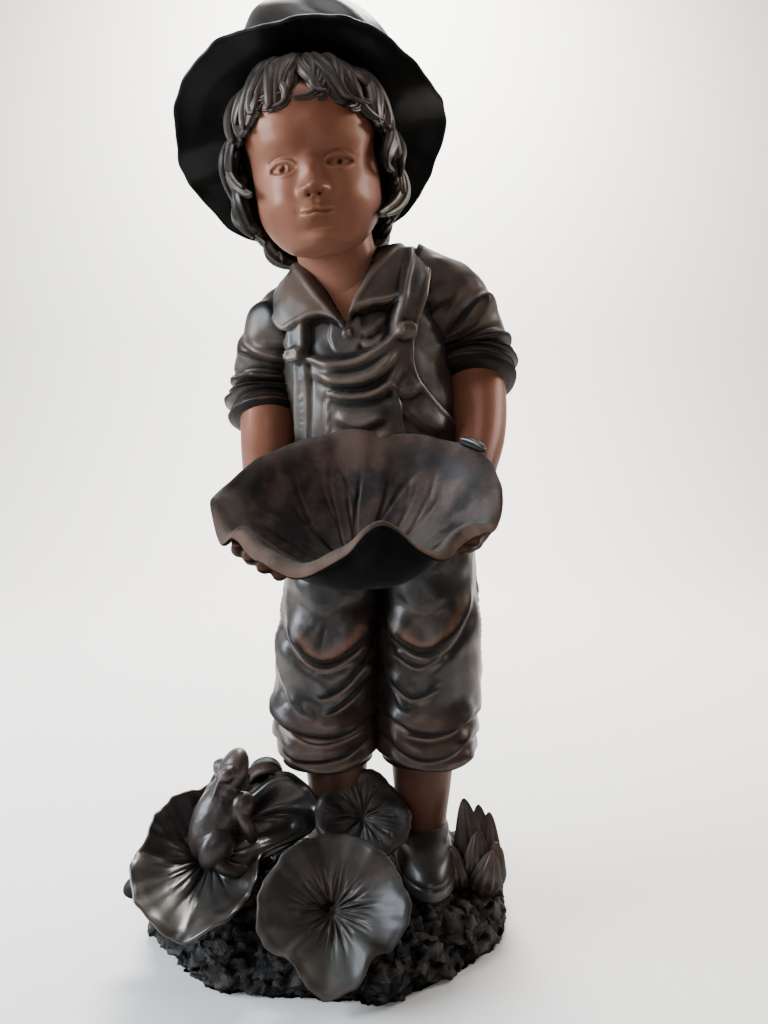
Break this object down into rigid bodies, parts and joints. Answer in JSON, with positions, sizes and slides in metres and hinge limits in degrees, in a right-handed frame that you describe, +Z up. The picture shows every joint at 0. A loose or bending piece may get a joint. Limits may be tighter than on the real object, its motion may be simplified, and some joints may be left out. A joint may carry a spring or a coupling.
{
  "type": "child statue",
  "caption": "Cast statue of a child in a floppy hat and dungarees who offers a lily leaf held as a dish, on a rocky base with lily pads and a frog.",
  "frame": {"origin": "middle of the rocky base's flat underside", "axes": "+Z up, the child faces -Y, and +X is the child's left"},
  "size_m": [0.2567, 0.2779, 0.6196],
  "materials": {
    "patinated_casting": "cold-cast resin with a dark brown bronze-like patina, waxed to a soft gloss"
  },
  "bodies": {
    "root": {"child_statue": "patinated_casting"}
  },
  "joints": []
}
